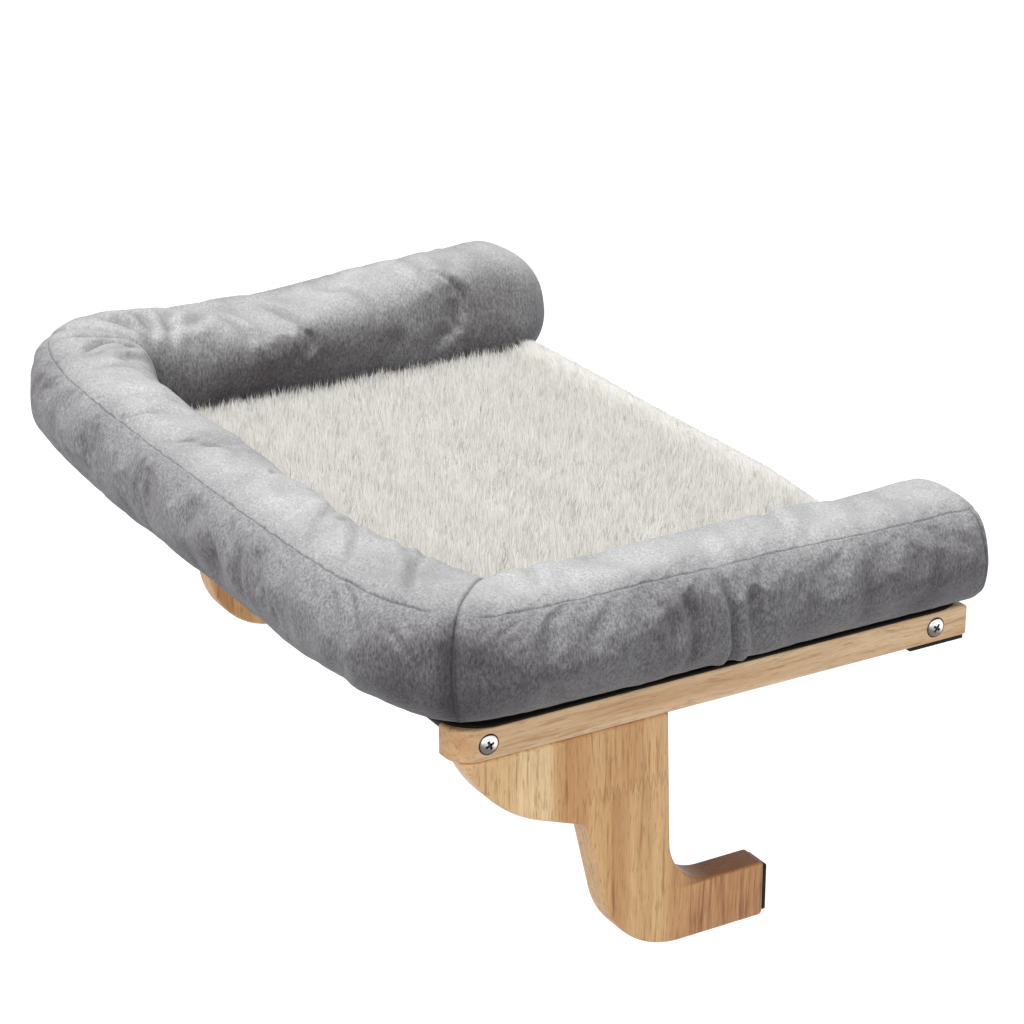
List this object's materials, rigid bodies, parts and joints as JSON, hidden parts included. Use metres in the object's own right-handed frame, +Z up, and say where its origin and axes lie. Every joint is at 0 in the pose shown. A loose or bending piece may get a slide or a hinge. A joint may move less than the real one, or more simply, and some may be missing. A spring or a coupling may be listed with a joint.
{
  "type": "window mounted cat perch",
  "caption": "Window-sill cat perch: wooden side rails on J brackets that hook under the sill, a cloth sling on steel tubes and a lift-off bolster bed open to the window.",
  "frame": {"origin": "midway between the two sill pads, on the plane of the window sill that they rest on", "axes": "+X along the window, to the right when facing it, +Y towards the window, +Z up"},
  "size_m": [0.6018, 0.4078, 0.2532],
  "materials": {
    "wood_rail": "satin",
    "wood_bracket": "satin",
    "tube_steel": "satin",
    "fastener_steel": "polished",
    "insert_steel": "satin",
    "sling_cloth": "matte",
    "pad_rubber": "matte",
    "base_cloth": "matte",
    "plush": "matte",
    "fur": "matte"
  },
  "bodies": {
    "frame": {"right_rail": "wood_rail", "left_rail": "wood_rail", "front_tube": "tube_steel", "rear_tube": "tube_steel", "tube_plugs": "insert_steel", "tube_screws": "fastener_steel", "sling": "sling_cloth", "right_sill_pad": "pad_rubber", "left_sill_pad": "pad_rubber"},
    "right_arm": {"right_bracket": "wood_bracket", "right_bracket_bolts": "fastener_steel", "right_bracket_washers": "fastener_steel", "right_bracket_inserts": "insert_steel", "right_foot_pad": "pad_rubber"},
    "left_arm": {"left_bracket": "wood_bracket", "left_bracket_bolts": "fastener_steel", "left_bracket_washers": "fastener_steel", "left_bracket_inserts": "insert_steel", "left_foot_pad": "pad_rubber"},
    "bed": {"bed_base": "base_cloth", "front_bolster": "plush", "right_bolster": "plush", "left_bolster": "plush", "mat": "fur"}
  },
  "joints": [
    {"name": "right_bracket_slide", "type": "slide", "parent": "frame", "child": "right_arm", "axis": [0, 1, 0], "range_m": [0, 0.1]},
    {"name": "left_bracket_slide", "type": "slide", "parent": "frame", "child": "left_arm", "axis": [0, 1, 0], "range_m": [0, 0.1]},
    {"name": "bed_lift", "type": "slide", "parent": "frame", "child": "bed", "axis": [0, 0, 1], "range_m": [0, 0.12]}
  ]
}
